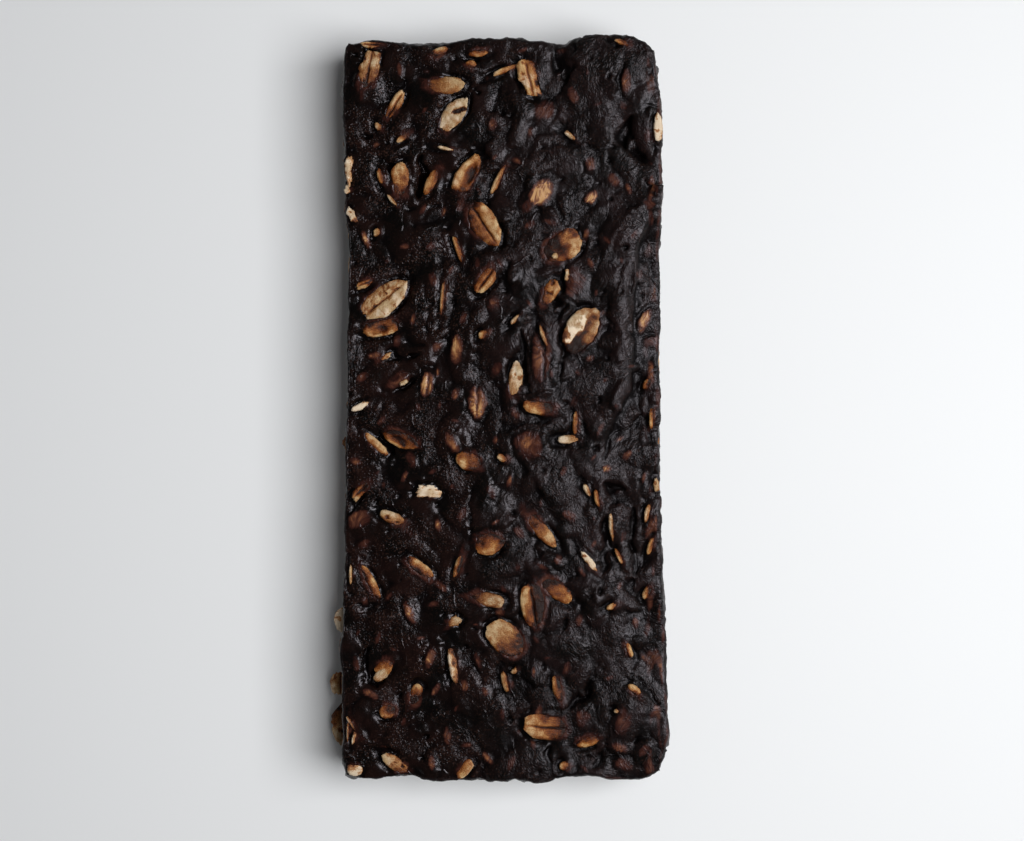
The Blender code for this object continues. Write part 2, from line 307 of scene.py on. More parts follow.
# Flakes that stand out of the cut wall at -X: y, z, length, depth, reach, turn, form, film.
WALL_FLAKES = (
    (-48.4, 6.0, 4.6, 4.2, 3.3, 12, "torn", 0.15),
    (-55.6, 4.8, 7.2, 4.6, 3.4, -8, "torn", 0.25),
    # This flake is painted white: partly its pale meal, partly painted light for light passing through it in
    # the bar's shadow.
    (-36.9, 9.5, 4.2, 3.0, 2.0, 10, "bright", 0.0),
    (-6.2, 8.5, 3.0, 2.0, 1.1, 0, "torn", 0.3),
)

FORMS = {           # ragged outline, crease depth, hollow depth, pits, thickness
    "plain": (0.035, 0.0, 0.0, 0.0, 0.50),
    "creased": (0.035, 0.34, 0.0, 0.0, 0.60),
    "speckled": (0.035, 0.34, 0.0, 0.10, 0.60),
    "pitted": (0.05, 0.0, 0.0, 0.35, 0.50),
    "holed": (0.05, 0.0, 0.0, 0.20, 0.60),
    "hollow": (0.05, 0.0, 0.40, 0.0, 0.60),
    "torn": (0.12, 0.22, 0.0, 0.25, 0.55),
    "chip": (0.14, 0.0, 0.0, 0.15, 0.55),
    "bright": (0.06, 0.0, 0.0, 0.10, 0.55),
    "shard": (0.17, 0.0, 0.0, 0.20, 0.60),
    "split": (0.04, 0.0, 0.0, 0.0, 0.60),
    "sliver": (0.05, 0.0, 0.0, 0.0, 0.45),
}


@dataclass
class Flake:
    """One oat flake: where it lies, its size, its form and how far paste covers it."""
    x: float
    y: float
    length: float
    width: float
    turn: float
    form: str
    film: float
    side: float
    mark: int
    z: float = 0.0
    slope_x: float = 0.0
    slope_y: float = 0.0


# ---------------------------------------------------------------- plain helpers
TABLE = rng.permutation(256)
SLOPES = rng.normal(size=(256, 3))
SLOPES /= np.linalg.norm(SLOPES, axis=1)[:, None]


def eased(value, start, end):
    """0 at start and 1 at end, eased between."""
    part = np.clip((value - start) / (end - start), 0, 1)
    return part * part * (3 - 2 * part)


def rough(x, y, spacing, mark, z=0.0):
    """Gradient noise from about -1 to 1. Spacing is one size, or one for each axis."""
    place = np.stack(np.broadcast_arrays(x, y, z), -1) / spacing + 7.31 * mark
    cell = np.floor(place).astype(int)
    part = place - cell
    ease = part ** 3 * (part * (part * 6 - 15) + 10)
    total = 0.0
    for corner in itertools.product((0, 1), repeat=3):
        index = (cell + corner) & 255
        row = TABLE[(TABLE[(TABLE[index[..., 0]] + index[..., 1]) & 255] + index[..., 2]) & 255]
        lean = ((part - corner) * SLOPES[row]).sum(-1)
        total = total + lean * np.where(corner, ease, 1 - ease).prod(-1)
    return total * 1.6


def blurred(field, cells, wrap=False):
    """A field smoothed over a number of grid cells, round the ring if wrap is set."""
    reach = max(1, math.ceil(3 * cells))
    steps = np.arange(-reach, reach + 1)
    weights = np.exp(-steps ** 2 / (2 * cells ** 2))
    weights /= weights.sum()
    for axis in range(field.ndim):
        pad = [(0, 0)] * field.ndim
        pad[axis] = (reach, reach)
        wide = np.pad(field, pad, mode="wrap" if wrap and axis == 0 else "edge")
        size = field.shape[axis]
        field = sum(
            weight * np.take(wide, np.arange(start, start + size), axis)
            for start, weight in enumerate(weights)
        )
    return field


def new_piece(name, points, faces, material, values):
    """A mesh object from points in millimetres, with one float attribute for each value."""
    mesh = bpy.data.meshes.new(name)
    mesh.from_pydata((np.asarray(points) * MM).tolist(), [], faces)
    for label, numbers in values.items():
        layer = mesh.attributes.new(label, "FLOAT", "POINT")
        layer.data.foreach_set("value", np.asarray(numbers, np.float32))
    mesh.shade_smooth()
    mesh.materials.append(material)
    piece = bpy.data.objects.new(name, mesh)
    bpy.context.scene.collection.objects.link(piece)
    return piece


# ---------------------------------------------------------------- the CAD solid, measured
def cad_surface():
    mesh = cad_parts[NODE].data
    points = [vertex.co / MM for vertex in mesh.vertices]
    return BVHTree.FromPolygons(points, [tuple(face.vertices) for face in mesh.polygons])


CAD = cad_surface()


def reach_out(x, y, z, toward):
    """How far the CAD wall is from an inner point, in a level direction."""
    return CAD.ray_cast(Vector((x, y, z)), Vector((toward[0], toward[1], 0)))[3]


def cad_height(x, y):
    return CAD.ray_cast(Vector((x, y, 2 * HIGH[2])), Vector((0, 0, -1)))[0].z


# ---------------------------------------------------------------- outline and grids
def grid_ring():
    """Indices of the top grid's border, anticlockwise."""
    grid = np.arange((CELLS_ALONG + 1) * (CELLS_ACROSS + 1))
    grid = grid.reshape(CELLS_ALONG + 1, CELLS_ACROSS + 1)
    return np.concatenate([grid[0, :-1], grid[:-1, -1], grid[-1, :0:-1], grid[:0:-1, 0]])


def plain_grid():
    """The top grid on the plain rectangle, as x and y."""
    return np.meshgrid(
        np.linspace(-HALF_WIDTH, HALF_WIDTH, CELLS_ACROSS + 1),
        np.linspace(-HALF_LENGTH, HALF_LENGTH, CELLS_ALONG + 1),
    )


def from_spine(x, y):
    """Foot of each point on the spine, and the arm from there to the point."""
    foot = np.clip(y, -SPINE_HALF, SPINE_HALF)
    return foot, x, y - foot


def ring_place(x, y):
    """Distance along the plain rectangle's border, from its corner at -X -Y."""
    width = 2 * HALF_WIDTH
    length = 2 * HALF_LENGTH
    on_near = np.isclose(y, -HALF_LENGTH)
    on_right = np.isclose(x, HALF_WIDTH)
    on_far = np.isclose(y, HALF_LENGTH)
    return np.select(
        [on_near, on_right, on_far],
        [x + HALF_WIDTH, width + y + HALF_LENGTH, width + length + HALF_WIDTH - x],
        2 * width + length + HALF_LENGTH - y,
    )


def skin(dx, dy):
    """Thickness of the paste skin outside the CAD wall."""
    return END_SKIN * dy * dy + (CUT_SKIN * dx * dx if dx < 0 else 0)


def measure_ring(x, y):
    """Stretch from the plain border to the CAD wall, for each ring point and height."""
    foot, arm_x, arm_y = from_spine(x, y)
    arm = np.hypot(arm_x, arm_y)
    reaches = [
        [reach_out(0, base, z, (dx, dy)) + skin(dx, dy) for z in WALL_HEIGHTS]
        for base, dx, dy in zip(foot, arm_x / arm, arm_y / arm)
    ]
    return blurred(np.array(reaches) / arm[:, None], 2.0, wrap=True)


def lay_top_grid(ring_x, ring_y, stretch):
    """The top grid moved inside the real outline."""
    x, y = plain_grid()
    foot, arm_x, arm_y = from_spine(x, y)
    tiny = 1e-9
    to_side = HALF_WIDTH / np.maximum(abs(arm_x), tiny)
    to_end = (HALF_LENGTH - SPINE_HALF) / np.maximum(abs(arm_y), tiny)
    times = np.minimum(to_side, to_end)
    border_x = arm_x * times
    border_y = foot + arm_y * times
    order = ring_place(ring_x, ring_y)
    scale = np.interp(ring_place(border_x, border_y), order, stretch)
    return arm_x * scale, foot + arm_y * scale


# ---------------------------------------------------------------- relief
class Field:
    """A sheet of heights over plan coordinates u and v, with the stain of the oats in it."""

    def __init__(self, u, v, height):
        self.shape = height.shape
        self.u = u.ravel()
        self.v = v.ravel()
        self.height = height.ravel()
        self.film = np.zeros(height.size)

    def near(self, x, y, reach):
        """Indices of the points less than reach from a spot."""
        return np.nonzero((abs(self.u - x) < reach) & (abs(self.v - y) < reach))[0]

    def blur(self, cells):
        self.height = blurred(self.height.reshape(self.shape), cells).ravel()

    def plane(self, x, y, points):
        """Height at x, y and slopes of the plane that fits the sheet at some points."""
        if len(points) < 12:
            nearest = np.argmin((self.u - x) ** 2 + (self.v - y) ** 2)
            return self.height[nearest], 0.0, 0.0
        du = self.u[points] - x
        dv = self.v[points] - y
        rows = np.stack([np.ones(du.size), du, dv], 1)
        soft = np.diag([0.0, 0.4, 0.4]) * du.size
        return np.linalg.solve(rows.T @ rows + soft, rows.T @ self.height[points])


def on_oval(du, dv, turn, length, width):
    """Coordinates along and across an oval, 1 at its ends and sides."""
    angle = math.radians(turn)
    along = (du * math.cos(angle) + dv * math.sin(angle)) / (length / 2)
    across = (dv * math.cos(angle) - du * math.sin(angle)) / (width / 2)
    return along, across


@functools.lru_cache(maxsize=None)
def outline_marks(mark):
    """Numbers that make one flake's outline: squareness, egg, wobble phases, broken sides."""
    chance = np.random.default_rng(1000 + mark)
    broken = [(chance.uniform(0, math.tau), chance.uniform(0.80, 1.0)) for _ in range(3)]
    return chance.uniform(1.85, 2.7), chance.uniform(-0.2, 0.2), chance.uniform(0, 9, 6), broken


def outline(angle, ragged, mark):
    """Distance from a flake's centre to its outline, about 1, in each direction."""
    square, egg, phases, broken = outline_marks(mark)
    cos, sin = np.cos(angle), np.sin(angle)
    reach = (abs(cos) ** square + abs(sin) ** square) ** (-1 / square)
    reach = reach * (1 + egg * cos * abs(sin))
    for order, phase in zip((2, 3, 5, 8, 13, 21), phases):
        reach = reach * (1 + ragged * np.sin(order * angle + phase) / order ** 0.4)
    for turn, size in broken:
        side = 1.04 - (1.04 - size) * min(ragged / 0.12, 1)
        reach = np.minimum(reach, side / np.maximum(np.cos(angle - turn), 0.05))
    return reach


def oval(along, across, ragged, mark):
    """Radius in an uneven oval, 1 on its outline."""
    return np.hypot(along, across) / outline(np.arctan2(across, along), ragged, mark)


def bury_flake(field, x, y, length, width, turn, rise, lean, mark):
    """A coated flake: a low plate whose one edge stands out of the paste."""
    near = field.near(x, y, 0.7 * length)
    du = field.u[near] - x
    dv = field.v[near] - y
    along, across = on_oval(du, dv, turn, length, width)
    radius = oval(along, across, 0.06, mark)
    base, slope_x, slope_y = field.plane(x, y, near[radius < 1])
    plate = base + slope_x * du + slope_y * dv
    plate += rise * (1.05 - radius ** 3.4) + lean[0] * along + lean[1] * across
    inside = radius < 1.25
    field.height[near[inside]] = np.maximum(field.height[near], plate)[inside]


def crevice(field, x0, y0, x1, y1, width, depth):
    """An uneven crack that narrows to both ends."""
    u = field.u + 0.8 * rough(field.u, field.v, 2.6, 5)
    v = field.v + 0.8 * rough(field.u, field.v, 2.6, 6)
    dx = x1 - x0
    dy = y1 - y0
    length = math.hypot(dx, dy)
    along = np.clip(((u - x0) * dx + (v - y0) * dy) / length ** 2, 0, 1)
    gap = np.hypot(u - x0 - along * dx, v - y0 - along * dy)
    narrow = (0.35 + 0.65 * np.sin(np.pi * along)) * (1 + 0.5 * rough(u, v, 1.7, 7))
    field.height -= depth * np.exp(-gap ** 2 / (width * narrow) ** 2)


def folds(u, v, strength):
    """Fine lengthwise folds and pores of the paste, as a height."""
    bend_u = u + 0.9 * rough(u, v, 3.0, 21)
    bend_v = v + 1.2 * rough(u, v, 4.0, 22)
    long_folds = 1 - 2 * abs(rough(bend_u, bend_v, (1.7, 3.4, 1.0), 23))
    fine_folds = 1 - 2 * abs(rough(bend_u, bend_v, (0.9, 1.5, 1.0), 24))
    grain = rough(u, v, 0.8, 25)
    return strength * (0.07 * long_folds + 0.08 * fine_folds) + 0.04 * grain


def scattered(tries, low, high, apart):
    """Random spots between two corners, none closer to another than apart."""
    spots = np.empty((0, 2))
    for _ in range(tries):
        spot = rng.uniform(low, high)
        if not len(spots) or np.hypot(*(spots - spot).T).min() > apart:
            spots = np.vstack([spots, spot])
    return spots


TILT = 0.13


def settle(field, flake):
    """Tilt a flake into the sheet: paste laps over its one side and parts at the other."""
    side = math.radians(flake.side)
    ragged = FORMS[flake.form][0]
    near = field.near(flake.x, flake.y, 0.6 * flake.length + 2.0)
    du = field.u[near] - flake.x
    dv = field.v[near] - flake.y
    along, across = on_oval(du, dv, flake.turn, flake.length, flake.width)
    radius = oval(along, across, ragged, flake.mark)
    base, slope_x, slope_y = field.plane(flake.x, flake.y, near[radius < 1.0])
    tilt = TILT * (1 - 0.5 * flake.film)
    flake.z = base + 0.28 - 0.30 * flake.film
    flake.slope_x = np.clip(slope_x, -0.4, 0.4) - tilt * math.cos(side)
    flake.slope_y = np.clip(slope_y, -0.4, 0.4) - tilt * math.sin(side)
    plate = flake.z + flake.slope_x * du + flake.slope_y * dv
    height = field.height[near]
    height += eased(radius, 1.02, 0.86) * np.minimum(plate - 0.45 - height, 0)
    off_edge = (radius - 1) * flake.width / 2
    toward = (du * math.cos(side) + dv * math.sin(side)) / np.maximum(np.hypot(du, dv), 0.1)
    patches = rough(du, dv, 1.2, flake.mark + 0.5)
    lap = np.clip(1.1 * flake.film + 0.9 * toward + 0.05 + 0.4 * patches, 0, 1)
    shore = 0.30 * patches - 0.02 - 0.32 * lap
    close = eased(off_edge, shore - 0.25, shore + 0.15) * eased(off_edge, 1.3, 0.2)
    height += close * lap * (plate + 0.12 - 0.14 * np.maximum(off_edge, 0) - height)
    moat = np.exp(-((off_edge - 0.32) / 0.36) ** 2)
    height -= 0.65 * (1 - lap) * moat
    field.height[near] = height
    stain = lap * eased(off_edge + 0.5 * patches, 0.2 + 0.9 * lap, -0.3) * (0.24 + 0.22 * flake.film)
    field.film[near] = np.maximum(field.film[near], stain)


def show_through(field, flake):
    """A flake under thin paste: a low plate that shows brown to tan through the film."""
    side = math.radians(flake.side)
    turn = math.radians(flake.turn)
    cos, sin = math.cos(side - turn), math.sin(side - turn)
    size = (flake.length + 0.4, flake.width + 0.4)
    strong = min(1.0, (flake.length / 5.0) ** 2)
    lean = (-0.22 * cos * strong, -0.22 * sin * strong)
    bury_flake(field, flake.x, flake.y, *size, flake.turn, 0.28 * strong, lean, flake.mark)
    near = field.near(flake.x, flake.y, 0.6 * flake.length + 1.5)
    du = field.u[near] - flake.x
    dv = field.v[near] - flake.y
    along, across = on_oval(du, dv, flake.turn, flake.length, flake.width)
    radius = oval(along, across, 0.06, flake.mark)
    patches = rough(du, dv, 1.8, flake.mark + 0.5)
    fine = rough(du, dv, 0.8, flake.mark + 0.7)
    toward = along * cos + across * sin
    amount = np.clip(1.8 * (1 - flake.film), 0.28, 0.95)
    fade = np.hypot(along, across) + 0.24 * patches + 0.16 * fine + 0.45 * toward
    glow = (1 - eased(fade, 0.3, 1.2)) * eased(radius, 1.06, 0.90)
    spot = np.hypot(along + 0.45 * cos, across + 0.45 * sin) + 0.3 * patches
    glow = np.clip(amount * glow * (1 + 0.40 * eased(spot, 0.5, 0.1)), 0, 1)
    open_side = eased(-toward / np.maximum(radius, 0.1), -0.1, 0.7)
    off_edge = (radius - 1) * flake.width / 2
    field.height[near] -= 0.32 * strong * open_side * np.exp(-((off_edge - 0.30) / 0.28) ** 2)
    if flake.form == "creased":
        line = crease_line(flake, du * math.cos(turn) + dv * math.sin(turn),
                           across * flake.width / 2, along)
        glow = glow * (1 - 0.7 * line)
        field.height[near] -= 0.3 * line * (radius < 1)
    field.film[near] = np.maximum(field.film[near], glow)


def ledge(field):
    """The lip along the right side, and the low shelf beyond it."""
    far_to_near = np.array(LEDGE).T
    lip = np.interp(-field.v, -far_to_near[1], far_to_near[0])
    beyond = field.u - lip - 0.35 * rough(field.u, field.v, 3.0, 51)
    ends = eased(field.v, LEDGE[-1][1], LEDGE[-1][1] + 5) * eased(field.v, LEDGE[0][1], LEDGE[0][1] - 5)
    step = eased(beyond, -0.1, 0.6) - 0.4 * eased(beyond, 0.8, 5.0)
    rise = 0.45 * eased(beyond, -5.0, -2.0) * eased(beyond, 0.2, -2.0)
    field.height += ends * (rise + 0.15 * np.exp(-((beyond + 0.6) / 0.5) ** 2) - 1.5 * step)
    streaks = eased(rough(field.u, field.v, (1.2, 4.5, 1.0), 52), -0.1, 0.5)
    field.film = np.maximum(field.film, 0.54 * eased(field.u, 22.5, 25.5) * streaks)


def make_flakes():
    """The listed flakes by kind."""
    kinds = {"pale": PALE, "tan": TAN, "stained": STAINED}
    return {
        kind: [Flake(*row, mark=number) for number, row in enumerate(rows, start)]
        for (kind, rows), start in zip(kinds.items(), (1, 101, 201))
    }


def small_stains(flakes):
    """Random small flakes under the paste, clear of the listed ones."""
    placed = np.array([(flake.x, flake.y) for kind in flakes.values() for flake in kind])
    made = []
    for number, spot in enumerate(scattered(900, (-26, -62), (25, 62), 3.3)):
        length = rng.uniform(1.6, 3.8)
        width = length * rng.uniform(0.35, 0.65)
        turn = rng.normal(80, 45)
        film = rng.uniform(0.76, 0.92)
        side = rng.uniform(0, 360)
        if np.hypot(*(placed - spot).T).min() > 3.2:
            made.append(Flake(*spot, length, width, turn, "plain", film, side, 400 + number))
    return made


def shape_top(field, flakes):
    """All the relief of the top sheet."""
    spots = scattered(3000, (-HALF_WIDTH, -HALF_LENGTH), (HALF_WIDTH, HALF_LENGTH), 3.5)
    for number, (u, v) in enumerate(spots):
        length = rng.uniform(4.5, 9.5)
        width = length * rng.uniform(0.42, 0.72)
        turn = rng.normal(75, 50)
        lean = rng.normal(0, 0.34, 2) * (0.6 + 0.4 * eased(u, -15, 5))
        bury_flake(field, u, v, length, width, turn, rng.uniform(0.05, 0.45), lean, number)
    for number, (x, y, length, width, turn, rise) in enumerate(BURIED):
        bury_flake(field, x, y, length, width, turn, rise * 0.7, (0.05, -0.05), 700 + number)
    field.blur(0.4)
    pits = rough(field.u, field.v, 1.9, 26) + 0.5 * rough(field.u, field.v, 0.9, 27)
    field.height -= 0.9 * eased(pits, 0.58, 1.0)
    ledge(field)
    for row in CREVICES:
        crevice(field, *row)
    right = eased(field.u, -12, 14)
    field.height += folds(field.u, field.v, 0.40 + 0.20 * right)
    for flake in flakes["stained"] + small_stains(flakes):
        show_through(field, flake)
    for flake in itertools.chain(flakes["pale"], flakes["tan"]):
        settle(field, flake)
    field.blur(0.33)


def shape_wall(field, top_height):
    """Relief of the walls, as an outward offset: broad bumps, low pressed-in flakes and pores."""
    u = field.u
    v = field.v
    field.height += 0.22 * rough(u, v, 4.0, 31) + 0.12 * rough(u, v, 1.9, 32)
    spots = scattered(2500, (0, 1.5), (u.max(), 13.5), 2.2)
    for number, (s, z) in enumerate(spots):
        length = rng.uniform(2.5, 6.0)
        width = rng.uniform(0.8, 2.2)
        turn = rng.normal(0, 16)
        lean = rng.normal(0, 0.05, 2)
        rise = rng.uniform(0.08, 0.3)
        bury_flake(field, s, z, length, width, turn, rise, lean, 300 + number)
    pores = eased(rough(u, v, 1.3, 33), 0.25, 0.75)
    field.height -= 0.35 * pores
    field.height += 0.06 * rough(u, v, 0.7, 34)


# ---------------------------------------------------------------- the paste skin
def wall_profile(top_z, upper_radius, lower_radius):
    """Inset and height of each wall row, for every ring point, from the top edge down."""
    insets = []
    heights = []
    arcs = np.linspace(0, math.pi / 2, ARC_ROWS + 1)[1:]
    for angle in arcs:
        insets.append(upper_radius * (1 - math.sin(angle)))
        heights.append(top_z - upper_radius * (1 - math.cos(angle)))
    upper = heights[-1]
    for step in range(1, WALL_ROWS + 1):
        share = step / WALL_ROWS
        insets.append(0 * top_z)
        heights.append(upper + (lower_radius - upper) * share)
    for angle in arcs:
        insets.append(lower_radius * (1 - math.cos(angle)))
        heights.append(lower_radius * (1 - math.sin(angle)))
    return np.array(insets).T, np.array(heights).T


def ring_normals(x, y):
    """Level outward directions round a ring."""
    along_x = np.roll(x, -3) - np.roll(x, 3)
    along_y = np.roll(y, -3) - np.roll(y, 3)
    size = np.hypot(along_x, along_y)
    return along_y / size, -along_x / size


def base_points(x, y):
    """Spots inside the base ring, clear of it."""
    spots = []
    for level in np.arange(-HALF_LENGTH, HALF_LENGTH, BASE_SPACING):
        close = abs(y - level) < 1.5
        if not close.any():
            continue
        left = x[close & (x < 0)]
        right = x[close & (x > 0)]
        if not len(left) or not len(right):
            continue
        start = left.max() + BASE_SPACING
        end = right.min() - BASE_SPACING
        count = max(int((end - start) / BASE_SPACING), 0)
        spots += [(place, level) for place in np.linspace(start, end, count)]
    inner = [spot for spot in spots if abs(spot[1]) < HALF_LENGTH - 4.0]
    return np.array(inner)


def grid_faces(rows, columns):
    start = (np.arange(rows - 1)[:, None] * columns + np.arange(columns - 1)).ravel()
    return np.stack([start, start + 1, start + columns + 1, start + columns], 1).tolist()


def make_paste(flakes, material):
    """The closed skin of the bar, and what the wall flakes need to know of its wall."""
    plain_x, plain_y = plain_grid()
    ring = grid_ring()
    ring_x = plain_x.ravel()[ring]
    ring_y = plain_y.ravel()[ring]
    stretch = measure_ring(ring_x, ring_y)
    foot, arm_x, arm_y = from_spine(ring_x, ring_y)
    arm = np.hypot(arm_x, arm_y)
    upper = np.where(ring_x < 0, UPPER_RADIUS + (CUT_RADIUS - UPPER_RADIUS) * (arm_x / arm) ** 4, UPPER_RADIUS)
    top_x, top_y = lay_top_grid(ring_x, ring_y, stretch[:, -1] - upper / arm)
    sampled = np.array([cad_height(0.975 * u, v * 0.985) for u, v in zip(top_x.flat, top_y.flat)])
    top = Field(top_x, top_y, blurred(sampled.reshape(top_x.shape), 3.0))
    shape_top(top, flakes)

    edge_z = top.height[ring]
    lower = LOWER_RADIUS * (1 + 0.35 * rough(ring_x, ring_y, 6.0, 41))
    insets, heights = wall_profile(edge_z, upper, lower)
    rows = heights.shape[1]
    reach = np.array([
        np.interp(heights[i], WALL_HEIGHTS, stretch[i] * arm[i]) for i in range(len(ring))
    ])
    out_x, out_y = arm_x / arm, arm_y / arm
    outline_x = out_x * reach[:, 0]
    outline_y = foot + out_y * reach[:, 0]
    steps = np.hypot(np.diff(outline_x, append=outline_x[0]), np.diff(outline_y, append=outline_y[0]))
    along = np.concatenate([[0], np.cumsum(steps)[:-1]])
    wall = Field(np.repeat(along[:, None], rows, 1), heights, np.zeros_like(heights))
    shape_wall(wall, edge_z)
    normal_x, normal_y = ring_normals(outline_x, outline_y)
    fade = np.ones(rows)
    fade[:3] = (0.25, 0.6, 0.85)
    fade[-3:] = (0.7, 0.4, 0.0)
    offset = wall.height.reshape(wall.shape) * fade * (1 + 0.6 * out_y ** 2)[:, None]
    beside_x = outline_x[:, None]
    beside_y = outline_y[:, None]
    ragged = 0.36 * rough(beside_x, beside_y, 2.1, 44, heights)
    ragged += 0.16 * rough(beside_x, beside_y, 0.8, 45, heights)
    ragged *= eased(rough(outline_x, outline_y, 9.0, 46), -0.2, 0.3)[:, None]
    offset = offset + ragged * (0.2 + 0.8 * out_y ** 2)[:, None] * fade
    wall_x = out_x[:, None] * (reach - insets) + normal_x[:, None] * offset
    wall_y = foot[:, None] + out_y[:, None] * (reach - insets) + normal_y[:, None] * offset
    wall_z = heights

    inner = base_points(wall_x[:, -1], wall_y[:, -1])
    count = len(ring)
    flat = [Vector(spot) for spot in zip(wall_x[:, -1], wall_y[:, -1])]
    flat += [Vector(spot) for spot in inner]
    edges = [(i, (i + 1) % count) for i in range(count)]
    base = geometry.delaunay_2d_cdt(flat, edges, [], 1, 1e-6)
    dents = 0.10 + 0.22 * eased(rough(inner[:, 0], inner[:, 1], 3.1, 42), 0.05, 0.7)

    points = np.concatenate([
        np.stack([top.u.ravel(), top.v.ravel(), top.height.ravel()], 1),
        np.stack([wall_x.T.ravel(), wall_y.T.ravel(), wall_z.T.ravel()], 1),
        np.stack([inner[:, 0], inner[:, 1], dents], 1),
    ])
    faces = grid_faces(CELLS_ALONG + 1, CELLS_ACROSS + 1)
    top_size = top.height.size
    rings = np.concatenate([ring[None, :], top_size + np.arange(rows * count).reshape(rows, count)])
    nexts = np.roll(rings, -1, axis=1)
    faces += np.stack([rings[:-1], rings[1:], nexts[1:], nexts[:-1]], -1).reshape(-1, 4).tolist()
    first = top_size + (rows - 1) * count
    faces += [tuple(first + corner for corner in reversed(face)) for face in base[2]]

    sheet = top.height.reshape(top.shape)
    hollows = sheet - blurred(sheet, 3.5)
    stain = 0.34 * eased(rough(wall.u, wall.v, (5.0, 1.6, 1.0), 43), -0.2, 0.6)
    stain = stain * np.repeat(eased(out_x, -0.2, 0.8)[:, None], rows, 1).ravel()
    stain = stain.reshape(wall.shape).T.ravel()
    folded = np.concatenate([eased(points[:top_size, 0], -14, 10), np.ones(len(points) - top_size)])
    film = np.concatenate([top.film, stain, np.zeros(len(inner))])
    # Painted shade: how deep each point lies in a hollow, wall pore or base dent; the paste colour darkens
    # with it.
    depth = np.concatenate([
        np.clip(-hollows / 0.5, -1, 1).ravel(),
        np.clip(-wall.height.reshape(wall.shape) / 0.5, -1, 1).T.ravel(),
        np.clip(dents / 0.3, 0, 1),
    ])
    values = {"film": film, "hollow": depth, "folded": folded}
    piece = new_piece("paste", points, faces, material, values)
    wall_map = {"along": along, "points": np.stack([wall_x, wall_y, wall_z], -1)[:, ::-1]}
    return piece, wall_map


# ---------------------------------------------------------------- oat flakes
def disc_grid(cells_along, cells_across):
    """A square grid drawn onto the unit disc, its lines closer along the middle."""
    along = np.linspace(-1, 1, cells_along + 1)
    across = np.linspace(-1, 1, cells_across + 1)
    across = np.sign(across) * abs(across) ** 1.35
    square_u, square_v = np.meshgrid(along, across)
    disc_u = square_u * np.sqrt(1 - square_v ** 2 / 2)
    disc_v = square_v * np.sqrt(1 - square_u ** 2 / 2)
    return disc_u, disc_v


def flake_relief(flake, along, across, radius):
    """Height of a flake's upper side over its plate."""
    ragged, crease, hollow, pits, thickness = FORMS[flake.form]
    u = along * flake.length / 2
    v = across * flake.width / 2
    drop = 0.26 - 0.14 * flake.film
    height = 0.16 * (1 - radius ** 2) - drop * eased(radius, 0.80, 1.0) ** 1.3
    cheeks = np.exp(-((abs(v) - 0.24 * flake.width) / (0.2 * flake.width)) ** 2)
    height += crease * (0.45 * cheeks - crease_line(flake, u, v, along))
    if flake.form == "split":
        height -= 0.40 * np.exp(-((across + 0.25) / 0.24) ** 2) * eased(abs(along), 0.95, 0.6)
    if flake.form == "holed":
        height -= 0.40 * hole(flake, u, v, along, across)
    height -= hollow * dish(flake, u, v, along, across)
    height += hollow * 0.4 * eased(radius, 0.5, 0.85) * eased(radius, 1.0, 0.85)
    height -= pits * dots(flake, u, v) * eased(radius, 0.95, 0.6)
    height += 0.035 * rough(u, v, (2.0, 0.22, 1.0), flake.mark + 3)
    height += 0.10 * rough(u, v, 1.3, flake.mark + 5)
    height += 0.07 * rough(u, v, 0.6, flake.mark + 6)
    return height


def crease_line(flake, u, v, along):
    """1 along the flake's crease, which wanders and fades to both ends."""
    wander = 0.22 * rough(u, 0 * u, 1.6, flake.mark + 2)
    return np.exp(-((v - wander) / 0.17) ** 2) * eased(abs(along), 0.98, 0.6)


def dish(flake, u, v, along, across):
    """1 in the hollow middle of a flake."""
    uneven = 0.25 * rough(u, v, 1.4, flake.mark + 7)
    return eased(np.hypot(along, (across + 0.25) * 1.2) + uneven, 0.75, 0.35)


def hole(flake, u, v, along, across):
    """1 in a crooked hole across the upper half of a flake."""
    uneven = 0.6 * rough(u, v, 0.8, flake.mark + 18)
    slant = across + 0.12 + 1.2 * (along - 0.28)
    return eased(np.hypot((along - 0.28) / 0.30, slant / 0.30) + uneven, 1.05, 0.80)


def dots(flake, u, v):
    """1 in small pits."""
    return eased(rough(u, v, 0.8, flake.mark + 8), 0.36, 0.58)


def flake_film(flake, along, across, radius):
    """How far paste covers each point of a flake, 0 to 1."""
    ragged, crease, hollow, pits, thickness = FORMS[flake.form]
    u = along * flake.length / 2
    v = across * flake.width / 2
    angle = math.radians(flake.side - flake.turn)
    toward = along * math.cos(angle) + across * math.sin(angle)
    patches = rough(u, v, 1.6, flake.mark + 9) + 0.6 * rough(u, v, 0.7, flake.mark + 10)
    film = 1.05 * flake.film + (0.10 + 0.90 * flake.film) * toward
    film += (0.12 + 0.36 * flake.film) * patches
    film += (0.14 + 0.15 * flake.film) * eased(radius + 0.25 * patches, 0.65, 1.0)
    if flake.form == "split":
        band = np.exp(-((across + 0.12 + 0.15 * patches) / 0.27) ** 2) * eased(along, 0.95, 0.7)
        film += 0.62 * band + 0.60 * eased(along + 0.3 * patches, -0.15, -0.50)
        film *= 1 - 0.9 * open_meal(flake, u, v, along, across)
    if crease:
        film += 0.6 * crease_line(flake, u, v, along)
    if flake.form == "holed":
        film += 1.2 * hole(flake, u, v, along, across)
    if hollow:
        film += 0.45 * dish(flake, u, v, along, across)
    if pits:
        film += 0.5 * dots(flake, u, v)
    if flake.form == "speckled":
        grains = rough(u, v, 0.5, flake.mark + 14) + 0.4 * rough(u, v, 1.7, flake.mark + 15)
        film += 0.42 * eased(grains, 0.15, 0.5) * eased(toward, -0.5, 0.3)
    return np.clip(film, 0, 1)


